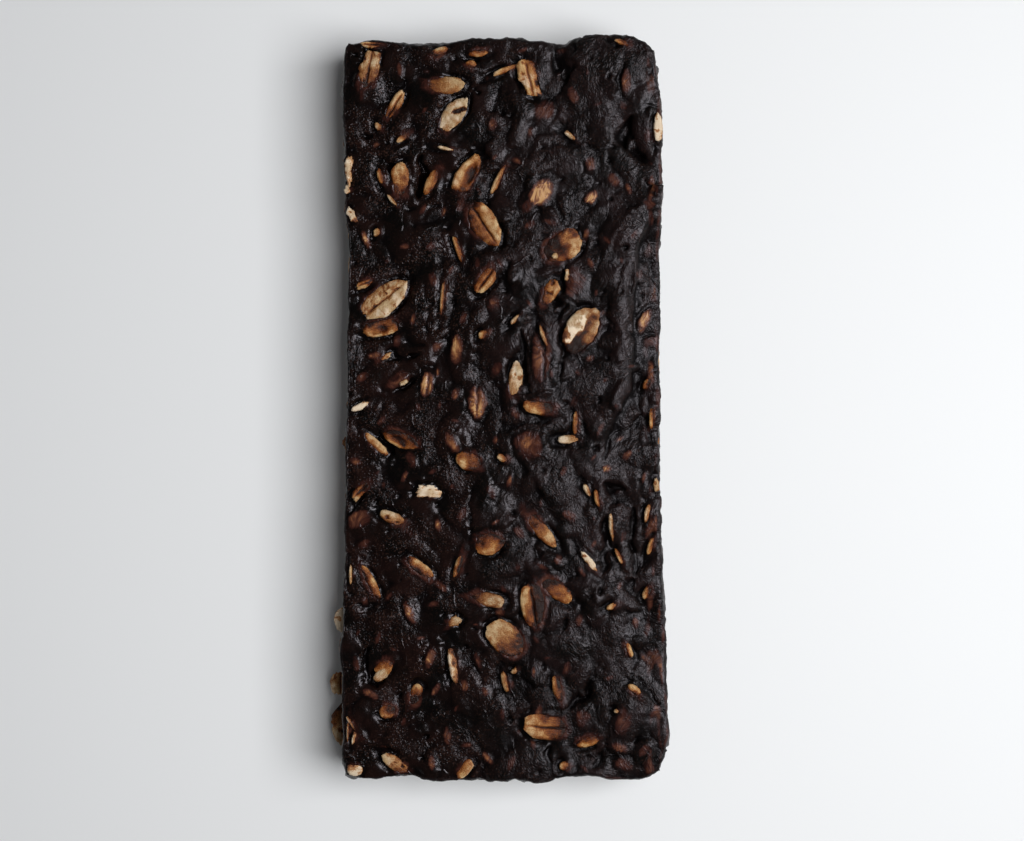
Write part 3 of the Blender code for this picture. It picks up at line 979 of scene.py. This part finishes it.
def open_meal(flake, u, v, along, across):
    """1 where the white inside of a split flake lies open."""
    uneven = 0.5 * rough(u, v, 1.7, flake.mark + 16) + 0.35 * rough(u, v, 0.7, flake.mark + 17)
    inside = eased(np.hypot((along + 0.04) / 0.60, (across - 0.36) / 0.36) + uneven, 1.0, 0.85)
    hole = eased(np.hypot(along - 0.05, (across - 0.45) * 0.8) + 0.4 * uneven, 0.10, 0.24)
    return inside * hole


def white_meal_and_painted_light(flake, along, across):
    """How far the meal is white at each point of a flake, 0 to 1; on a split flake also a painted highlight
    along the rim that faces the lamp.
    """
    u = along * flake.length / 2
    v = across * flake.width / 2
    patches = rough(u, v, 1.5, flake.mark + 11) + 0.5 * rough(u, v, 0.6, flake.mark + 12)
    if flake.form == "split":
        # Painted highlight: the rim of a split flake that faces the lamp is painted white.
        lit_rim = eased(across + 0.2 * patches, -0.62, -0.80) * eased(along, -0.5, -0.1)
        return np.maximum(open_meal(flake, u, v, along, across), 0.6 * lit_rim)
    if flake.form == "shard":
        return 0.35 + 0.65 * eased(np.hypot(along, across) + 0.5 * patches, 0.35, 0.85)
    # Bright flakes are white all over; on the jutting wall flake this is partly painted light.
    if flake.form == "bright":
        return np.full(along.shape, 0.8)
    return 0.65 * eased(flake.film, 0.5, 0.1) * eased(patches, -0.1, 0.5)


def flake_parts(flake, cells_along, cells_across):
    """Local points (along, across, up in millimetres), faces and values of one closed flake."""
    ragged, crease, hollow, pits, thickness = FORMS[flake.form]
    along, across = disc_grid(cells_along, cells_across)
    plain_radius = np.hypot(along, across)
    grow = outline(np.arctan2(across, along), ragged, flake.mark)
    along = along * grow
    across = across * grow
    radius = plain_radius
    up = flake_relief(flake, along, across, radius)
    film = flake_film(flake, along, across, radius)
    local = np.stack([along * flake.length / 2, across * flake.width / 2, up], -1)
    rows, columns = along.shape
    index = np.arange(rows * columns).reshape(rows, columns)
    rim = np.concatenate([index[0, :-1], index[:-1, -1], index[-1, :0:-1], index[:0:-1, 0]])
    points = local.reshape(-1, 3)
    under = points[rim] * (0.96, 0.96, 1.0) - (0, 0, thickness)
    count = len(rim)
    first = len(points)
    faces = grid_faces(rows, columns)
    faces += [
        (rim[i], first + i, first + (i + 1) % count, rim[(i + 1) % count]) for i in range(count)
    ]
    faces.append(tuple(first + i for i in reversed(range(count))))
    values = {
        "film": np.concatenate([film.ravel(), np.ones(count)]),
        "grain_u": np.concatenate([local[..., 0].ravel(), under[:, 0]]),
        "grain_v": np.concatenate([local[..., 1].ravel(), under[:, 1]]),
        "mark": np.full(first + count, float(flake.mark % 97)),
        "white": np.concatenate([white_meal_and_painted_light(flake, along, across).ravel(), np.zeros(count)]),
        "warm": np.full(first + count, flake.mark * 0.618 % 1),
    }
    return np.concatenate([points, under]), faces, values


def lie_on_top(flake, local):
    """Local points of a flake moved onto its sloping plate."""
    angle = math.radians(flake.turn)
    dx = local[:, 0] * math.cos(angle) - local[:, 1] * math.sin(angle)
    dy = local[:, 0] * math.sin(angle) + local[:, 1] * math.cos(angle)
    z = flake.z + flake.slope_x * dx + flake.slope_y * dy + local[:, 2]
    return np.stack([flake.x + dx, flake.y + dy, z], 1)


def joined(parts):
    """Many (points, faces, values) as one."""
    points = []
    faces = []
    values = {label: [] for label in parts[0][2]}
    total = 0
    for some_points, some_faces, some_values in parts:
        faces += [tuple(int(total + corner) for corner in face) for face in some_faces]
        points.append(some_points)
        for label, numbers in some_values.items():
            values[label].append(numbers)
        total += len(some_points)
    return np.concatenate(points), faces, {k: np.concatenate(v) for k, v in values.items()}


def make_top_flakes(kind, flakes, material):
    parts = []
    for flake in flakes:
        cells_along = int(np.clip(flake.length / 0.26, 12, 30))
        cells_across = int(np.clip(flake.width / 0.2, 8, 22))
        local, faces, values = flake_parts(flake, cells_along, cells_across)
        parts.append((lie_on_top(flake, local), faces, values))
    return new_piece(f"oats_{kind}", *joined(parts)[:2], material, joined(parts)[2])


# ---------------------------------------------------------------- cut oats in the walls
def wall_spots(wall, place, z):
    """Points of the wall's skin at distances round it and heights."""
    along = wall["along"]
    skin = wall["points"]
    column = np.interp(place % along[-1], along, np.arange(len(along)))
    start = column.astype(int)
    part = (column - start)[:, None, None]
    following = (start + 1) % len(along)
    lines = skin[start] * (1 - part) + skin[following] * part
    return np.array([
        [np.interp(level, line[:, 2], line[:, axis]) for axis in range(3)]
        for level, line in zip(z, lines)
    ])


def make_cut_oats(wall, material):
    """Edges of flakes that the knife cut, flush in the walls and bent to them."""
    parts = []
    total = wall["along"][-1]
    spots = scattered(1500, (0, 2.4), (total, 12.2), 2.5)
    for number, (place, z) in enumerate(spots):
        length = rng.uniform(1.4, 6.6)
        width = length * rng.uniform(0.3, 0.6) if rng.random() < 0.3 else rng.uniform(0.4, 1.1)
        width = min(width, 2.4)
        turn = rng.normal(0, 22)
        form = "sliver" if rng.random() < 0.7 else "chip"
        cut = wall_spots(wall, np.array([place]), np.array([z]))[0, 0] < -0.8 * HALF_WIDTH
        film = float(np.clip(rng.normal(0.50 if cut else 0.85, 0.25), 0.0, 0.95))
        if rng.random() < (0.15 if cut else 0.45):
            continue
        flake = Flake(0, 0, length, width, turn, form, film, rng.uniform(0, 360), number)
        local, faces, values = flake_parts(flake, 12, 5)
        angle = math.radians(turn)
        u = local[:, 0] * math.cos(angle) - local[:, 1] * math.sin(angle)
        v = local[:, 0] * math.sin(angle) + local[:, 1] * math.cos(angle)
        skin = wall_spots(wall, place + u, z + v)
        ahead = wall_spots(wall, place + u + 0.5, z + v) - wall_spots(wall, place + u - 0.5, z + v)
        outward = np.stack([ahead[:, 1], -ahead[:, 0], 0 * u], 1)
        outward /= np.linalg.norm(outward, axis=1)[:, None]
        lift = local[:, 2:] * 0.5 + (0.12 if cut else 0.04)
        parts.append((skin + outward * lift, faces, values))
    points, faces, values = joined(parts)
    return new_piece("oats_cut", points, faces, material, values)


def make_jutting_oats(wall, material):
    """Whole flakes that stand out low on the cut wall."""
    parts = []
    for number, (y, z, length, depth, reach, turn, form, film) in enumerate(WALL_FLAKES):
        flake = Flake(0, 0, length, depth, 0, form, film, 0, 40 + number)
        local, faces, values = flake_parts(flake, 24, 14)
        edge = wall_spots(wall, wall["along"], np.full(len(wall["along"]), z))
        beside = np.where(edge[:, 0] < 0, abs(edge[:, 1] - y), math.inf)
        centre = edge[np.argmin(beside), 0] - reach + depth / 2
        lean = math.radians(turn)
        points = np.stack([
            centre + local[:, 1] * math.cos(lean),
            y + local[:, 0],
            z + local[:, 2] * 0.8 + local[:, 1] * math.sin(lean),
        ], 1)
        parts.append((points, faces, values))
    points, faces, values = joined(parts)
    return new_piece("oats_jutting", points, faces, material, values)


def make_base_oats(material):
    """Flakes pressed flat into the underside."""
    parts = []
    for number in range(70):
        spot = rng.uniform((-HALF_WIDTH + 5, -HALF_LENGTH + 5), (HALF_WIDTH - 5, HALF_LENGTH - 5))
        length = rng.uniform(4.0, 8.0)
        form = ("plain", "creased", "torn")[number % 3]
        film = float(rng.uniform(0.2, 0.85))
        turn = rng.uniform(0, 180)
        flake = Flake(*spot, length, length * rng.uniform(0.45, 0.65), turn, form, film, 0, number)
        local, faces, values = flake_parts(flake, 16, 10)
        angle = math.radians(turn)
        x = spot[0] + local[:, 0] * math.cos(angle) - local[:, 1] * math.sin(angle)
        y = spot[1] + local[:, 0] * math.sin(angle) + local[:, 1] * math.cos(angle)
        z = np.maximum(0.10 - 0.5 * local[:, 2], 0.0)
        faces = [tuple(reversed(face)) for face in faces]
        parts.append((np.stack([x, y, z], 1), faces, values))
    points, faces, values = joined(parts)
    return new_piece("oats_base", points, faces, material, values)


# ---------------------------------------------------------------- materials
def new_material(name):
    material = bpy.data.materials.new(name)
    material.use_nodes = True
    tree = material.node_tree
    return material, tree, tree.nodes["Principled BSDF"]


def node(tree, kind, **settings):
    made = tree.nodes.new(kind)
    for label, value in settings.items():
        if label in made.inputs:
            made.inputs[label].default_value = value
        else:
            setattr(made, label, value)
    return made


def noise_node(tree, vector, scale, detail=3.0, roughness=0.55, distortion=0.0):
    made = node(tree, "ShaderNodeTexNoise", Scale=scale, Detail=detail,
                Roughness=roughness, Distortion=distortion)
    tree.links.new(vector, made.inputs["Vector"])
    return made.outputs["Fac"]


def warped(tree, vector, scale, reach):
    """A vector pushed about by broad noise, by up to about a quarter of reach."""
    noise = node(tree, "ShaderNodeTexNoise", Scale=scale, Detail=1.0)
    tree.links.new(vector, noise.inputs["Vector"])
    push = node(tree, "ShaderNodeVectorMath", operation="MULTIPLY_ADD")
    push.inputs[1].default_value = (reach, reach, reach)
    tree.links.new(noise.outputs["Color"], push.inputs[0])
    tree.links.new(vector, push.inputs[2])
    return push.outputs[0]


def stretched(tree, vector, scale):
    made = node(tree, "ShaderNodeMapping", Scale=scale)
    tree.links.new(vector, made.inputs["Vector"])
    return made.outputs["Vector"]


def attribute(tree, label):
    return node(tree, "ShaderNodeAttribute", attribute_name=label).outputs["Fac"]


def math_node(tree, operation, first, second, clamp=False):
    made = node(tree, "ShaderNodeMath", operation=operation, use_clamp=clamp)
    for socket, value in zip(made.inputs, (first, second)):
        if isinstance(value, (int, float)):
            socket.default_value = value
        else:
            tree.links.new(value, socket)
    return made.outputs[0]


def ranged(tree, value, low, high, out_low, out_high):
    made = node(tree, "ShaderNodeMapRange")
    made.inputs["From Min"].default_value = low
    made.inputs["From Max"].default_value = high
    made.inputs["To Min"].default_value = out_low
    made.inputs["To Max"].default_value = out_high
    tree.links.new(value, made.inputs["Value"])
    return made.outputs[0]


def ramp_node(tree, value, stops):
    made = node(tree, "ShaderNodeValToRGB")
    elements = made.color_ramp.elements
    while len(elements) < len(stops):
        elements.new(0.5)
    for element, (place, colour) in zip(elements, stops):
        element.position = place
        element.color = (*colour, 1)
    tree.links.new(value, made.inputs["Fac"])
    return made.outputs["Color"]


def mixed(tree, factor, first, second, blend="MIX"):
    made = node(tree, "ShaderNodeMix", data_type="RGBA", blend_type=blend)
    for socket, value in zip((made.inputs[0], made.inputs[6], made.inputs[7]),
                             (factor, first, second)):
        if isinstance(value, (int, float)):
            socket.default_value = value
        elif isinstance(value, tuple):
            socket.default_value = (*value, 1)
        else:
            tree.links.new(value, socket)
    return made.outputs[2]


def bumped(tree, height, strength, distance, normal=None):
    made = node(tree, "ShaderNodeBump", Strength=strength, Distance=distance)
    tree.links.new(height, made.inputs["Height"])
    if normal is not None:
        tree.links.new(normal, made.inputs["Normal"])
    return made.outputs["Normal"]


PASTE_DARK = (0.0015, 0.0011, 0.0008)
PASTE_BROWN = (0.0088, 0.0034, 0.0026)
PASTE_GREY = (0.0092, 0.0047, 0.0045)
# Warm brown specks: partly the paste's own grain, partly painted glints of small sticky drops.
PASTE_SPECK_AND_GLINT = (0.055, 0.025, 0.017)
THROUGH_PASTE = (
    (0.0, (0.0, 0.0, 0.0)), (0.30, (0.030, 0.0090, 0.0065)), (0.50, (0.075, 0.026, 0.015)),
    (0.72, (0.19, 0.072, 0.030)), (0.95, (0.44, 0.24, 0.100)),
)
# Painted shade colour for hollows, pores and dents.
PAINTED_HOLLOW_SHADE = (0.0010, 0.0005, 0.0005)
PASTE_SHINE = 0.15
# White meal colour, also used for painted highlight and painted light on some flakes.
WHITE_MEAL_AND_PAINTED_LIGHT = (0.76, 0.62, 0.46)


def paste_material():
    material, tree, shader = new_material("dark_paste")
    place = node(tree, "ShaderNodeTexCoord").outputs["Object"]
    folded = attribute(tree, "folded")
    calm = ranged(tree, noise_node(tree, place, 150, detail=2), 0.42, 0.58, 0, 1)
    floor = ranged(tree, folded, 0, 1, 0.12, 0.50)
    lively = math_node(tree, "ADD", floor, math_node(
        tree, "MULTIPLY", calm, math_node(tree, "SUBTRACT", 1.0, floor)))
    patches = noise_node(tree, place, 180, detail=4)
    specks = noise_node(tree, place, 3000, detail=1)
    brown = mixed(tree, folded, PASTE_BROWN, PASTE_GREY)
    colour = mixed(tree, ranged(tree, patches, 0.38, 0.66, 0, 1), PASTE_DARK, brown)
    # Warm specks, stronger at -X: partly grain, partly painted glints.
    warm = math_node(tree, "MULTIPLY", ranged(tree, specks, 0.54, 0.74, 0, 1),
                     ranged(tree, folded, 0, 1, 0.60, 0.35))
    warm = math_node(tree, "MULTIPLY", warm, lively)
    colour = mixed(tree, warm, colour, PASTE_SPECK_AND_GLINT)
    bent = warped(tree, place, 170, 0.010)
    flow = stretched(tree, bent, (1.0, 0.36, 1.0))
    fine = noise_node(tree, flow, 1750, detail=1.5, roughness=0.55, distortion=0.4)
    grains = ranged(tree, fine, 0.3, 0.7, -0.34, 0.34)
    film = attribute(tree, "film")
    sight = math_node(tree, "ADD", film, math_node(tree, "MULTIPLY", film, grains), clamp=True)
    through = ramp_node(tree, sight, THROUGH_PASTE)
    colour = mixed(tree, ranged(tree, sight, 0.10, 0.28, 0, 1), colour, through)
    # Painted shade: the colour darkens in hollows, pores and dents, where shade falls.
    hollow = ranged(tree, attribute(tree, "hollow"), -0.1, 0.55, 0.0, 0.95)
    colour = mixed(tree, hollow, colour, PAINTED_HOLLOW_SHADE)
    tree.links.new(colour, shader.inputs["Base Color"])
    off_crest = math_node(tree, "ABSOLUTE", math_node(tree, "SUBTRACT", fine, 0.5), 0.0)
    wrinkles = math_node(tree, "SUBTRACT", 0.7, math_node(tree, "POWER", off_crest, 0.7))
    wrinkles = math_node(tree, "MULTIPLY", wrinkles, lively)
    wrinkles = math_node(tree, "MULTIPLY", wrinkles, ranged(tree, folded, 0, 1, 0.34, 0.95))
    waves = noise_node(tree, flow, 430, detail=1, distortion=0.5)
    waves = math_node(tree, "MULTIPLY", waves, ranged(tree, folded, 0, 1, 0.6, 0.8))
    drops = ranged(tree, noise_node(tree, place, 2900, detail=0), 0.56, 0.76, 0, 1)
    drops = math_node(tree, "MULTIPLY", drops, lively)
    drops = math_node(tree, "MULTIPLY", drops, ranged(tree, folded, 0, 1, 1.0, 0.45))
    cells = node(tree, "ShaderNodeTexVoronoi", feature="DISTANCE_TO_EDGE")
    tree.links.new(warped(tree, place, 420, 0.0016), cells.inputs["Vector"])
    cells.inputs["Scale"].default_value = 170
    seams = ranged(tree, cells.outputs["Distance"], 0.0, 0.030, 1, 0)
    seams = math_node(tree, "MULTIPLY", seams, ranged(
        tree, noise_node(tree, place, 260, detail=1), 0.50, 0.60, 0, 1))
    gloss = ranged(tree, off_crest, 0.0, 0.12, 0.22, 0.32)
    matt = ranged(tree, folded, 0, 1, -0.03, 0.09)
    tree.links.new(math_node(tree, "ADD", gloss, matt, clamp=True), shader.inputs["Roughness"])
    shader.inputs["Specular IOR Level"].default_value = PASTE_SHINE
    shader.inputs["Specular Tint"].default_value = (0.99, 0.93, 1.0, 1)
    normal = bumped(tree, waves, 1.0, 0.00025)
    normal = bumped(tree, seams, 1.0, 0.00009, normal)
    normal = bumped(tree, wrinkles, 1.0, 0.00018, normal)
    normal = bumped(tree, drops, 1.0, 0.00007, normal)
    tree.links.new(normal, shader.inputs["Normal"])
    return material


STAIN = (
    (0.12, (1.0, 1.0, 1.0)), (0.33, (0.68, 0.45, 0.27)), (0.55, (0.37, 0.175, 0.085)),
    (0.75, (0.18, 0.072, 0.045)), (0.95, (0.05, 0.020, 0.015)),
)
OAT_SHINE = 0.16


def oat_material(name, light, cool, dark):
    """Oat flake: light and dark meal in fine lines, brown where thin paste covers it."""
    material, tree, shader = new_material(name)
    grain = node(tree, "ShaderNodeCombineXYZ")
    for label, socket in zip(("grain_u", "grain_v", "mark"), grain.inputs):
        tree.links.new(attribute(tree, label), socket)
    place = grain.outputs[0]
    light = mixed(tree, attribute(tree, "warm"), cool, light)
    lines = noise_node(tree, stretched(tree, place, (0.45, 4.5, 1.0)), 1.0, detail=4)
    clouds = noise_node(tree, stretched(tree, place, (0.9, 0.9, 1.0)), 1.0, detail=4)
    specks = noise_node(tree, stretched(tree, place, (5.0, 7.0, 1.0)), 1.0, detail=2)
    meal = mixed(tree, ranged(tree, clouds, 0.35, 0.65, 0, 1), light, dark)
    meal = mixed(tree, ranged(tree, lines, 0.48, 0.66, 0, 0.25), meal, dark)
    brown = tuple(channel * 0.45 for channel in dark)
    meal = mixed(tree, ranged(tree, specks, 0.56, 0.70, 0, 0.75), meal, brown)
    # White meal, and painted light where the white attribute carries it.
    meal = mixed(tree, attribute(tree, "white"), meal, WHITE_MEAL_AND_PAINTED_LIGHT)
    cover = math_node(tree, "ADD", attribute(tree, "film"),
                      ranged(tree, specks, 0.25, 0.75, -0.24, 0.24), clamp=True)
    cover = math_node(tree, "ADD", cover, ranged(tree, lines, 0.3, 0.7, -0.06, 0.06), clamp=True)
    stain = ramp_node(tree, cover, STAIN)
    colour = mixed(tree, 1.0, meal, stain, "MULTIPLY")
    colour = mixed(tree, ranged(tree, cover, 0.75, 1.0, 0, 1), colour, PASTE_BROWN)
    tree.links.new(colour, shader.inputs["Base Color"])
    tree.links.new(ranged(tree, cover, 0.1, 0.8, 0.6, 0.30), shader.inputs["Roughness"])
    shader.inputs["Specular IOR Level"].default_value = OAT_SHINE
    normal = bumped(tree, lines, 0.5, 0.00014)
    normal = bumped(tree, specks, 0.8, 0.00022, normal)
    tree.links.new(normal, shader.inputs["Normal"])
    return material


def floor_material():
    material, tree, shader = new_material("pale_floor")
    shader.inputs["Base Color"].default_value = (0.80, 0.80, 0.80, 1)
    shader.inputs["Roughness"].default_value = 0.9
    shader.inputs["Specular IOR Level"].default_value = 0.1
    return material


# ---------------------------------------------------------------- stage, light, camera
def make_floor():
    size = 3.0
    points = [(-size, -size, 0), (size, -size, 0), (size, size, 0), (-size, size, 0)]
    mesh = bpy.data.meshes.new("floor")
    mesh.from_pydata(points, [], [(0, 1, 2, 3)])
    mesh.materials.append(floor_material())
    floor = bpy.data.objects.new("floor", mesh)
    floor.location.z = -0.00005
    bpy.context.scene.collection.objects.link(floor)


def aim(thing, place, target):
    thing.location = place
    thing.rotation_euler = (Vector(target) - Vector(place)).to_track_quat("-Z", "Y").to_euler()


def add_lamp(name, width, height, energy, place):
    lamp = bpy.data.lights.new(name, "AREA")
    lamp.shape = "RECTANGLE"
    lamp.size = width
    lamp.size_y = height
    lamp.energy = energy
    lamp.color = (0.97, 0.985, 1.0)
    holder = bpy.data.objects.new(name, lamp)
    bpy.context.scene.collection.objects.link(holder)
    aim(holder, place, (0, 0, 0))
    return holder


def make_lights():
    window = add_lamp("window", 0.27, 0.34, 2.5, (0.20, -0.01, 0.41))
    window.visible_glossy = False
    sheen = add_lamp("sheen", 0.18, 0.32, 3.6, (0.33, 0.06, 0.34))
    sheen.visible_diffuse = False
    world = bpy.data.worlds.new("studio")
    bpy.context.scene.world = world
    world.use_nodes = True
    background = world.node_tree.nodes["Background"]
    background.inputs["Color"].default_value = (0.97, 0.98, 1.0, 1)
    background.inputs["Strength"].default_value = 0.10


VIEW_WIDTH = 0.17408
VIEW_HEIGHT = 0.300
SENSOR = 36.0


def make_camera():
    lens = bpy.data.cameras.new("camera")
    lens.sensor_width = SENSOR
    lens.lens = SENSOR * VIEW_HEIGHT / VIEW_WIDTH
    camera = bpy.data.objects.new("camera", lens)
    camera.location = (0.0011, -0.0021, VIEW_HEIGHT + HIGH[2] * MM)
    bpy.context.scene.collection.objects.link(camera)
    bpy.context.scene.camera = camera
    bpy.context.scene.view_settings.view_transform = "Standard"


# ---------------------------------------------------------------- putting it together
def main():
    make_camera()
    make_lights()
    make_floor()
    flakes = make_flakes()
    paste, wall = make_paste(flakes, paste_material())
    pale = oat_material("oat_pale", (0.53, 0.36, 0.175), (0.53, 0.42, 0.28), (0.33, 0.18, 0.075))
    tan = oat_material("oat_tan", (0.60, 0.38, 0.16), (0.60, 0.43, 0.24), (0.36, 0.17, 0.060))
    pieces = [
        make_top_flakes("pale", flakes["pale"], pale),
        make_top_flakes("tan", flakes["tan"], tan),
        make_cut_oats(wall, tan),
        make_jutting_oats(wall, pale),
        make_base_oats(tan),
    ]
    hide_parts(NODE)
    for piece in (paste, *pieces):
        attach(piece, BODY)


main()
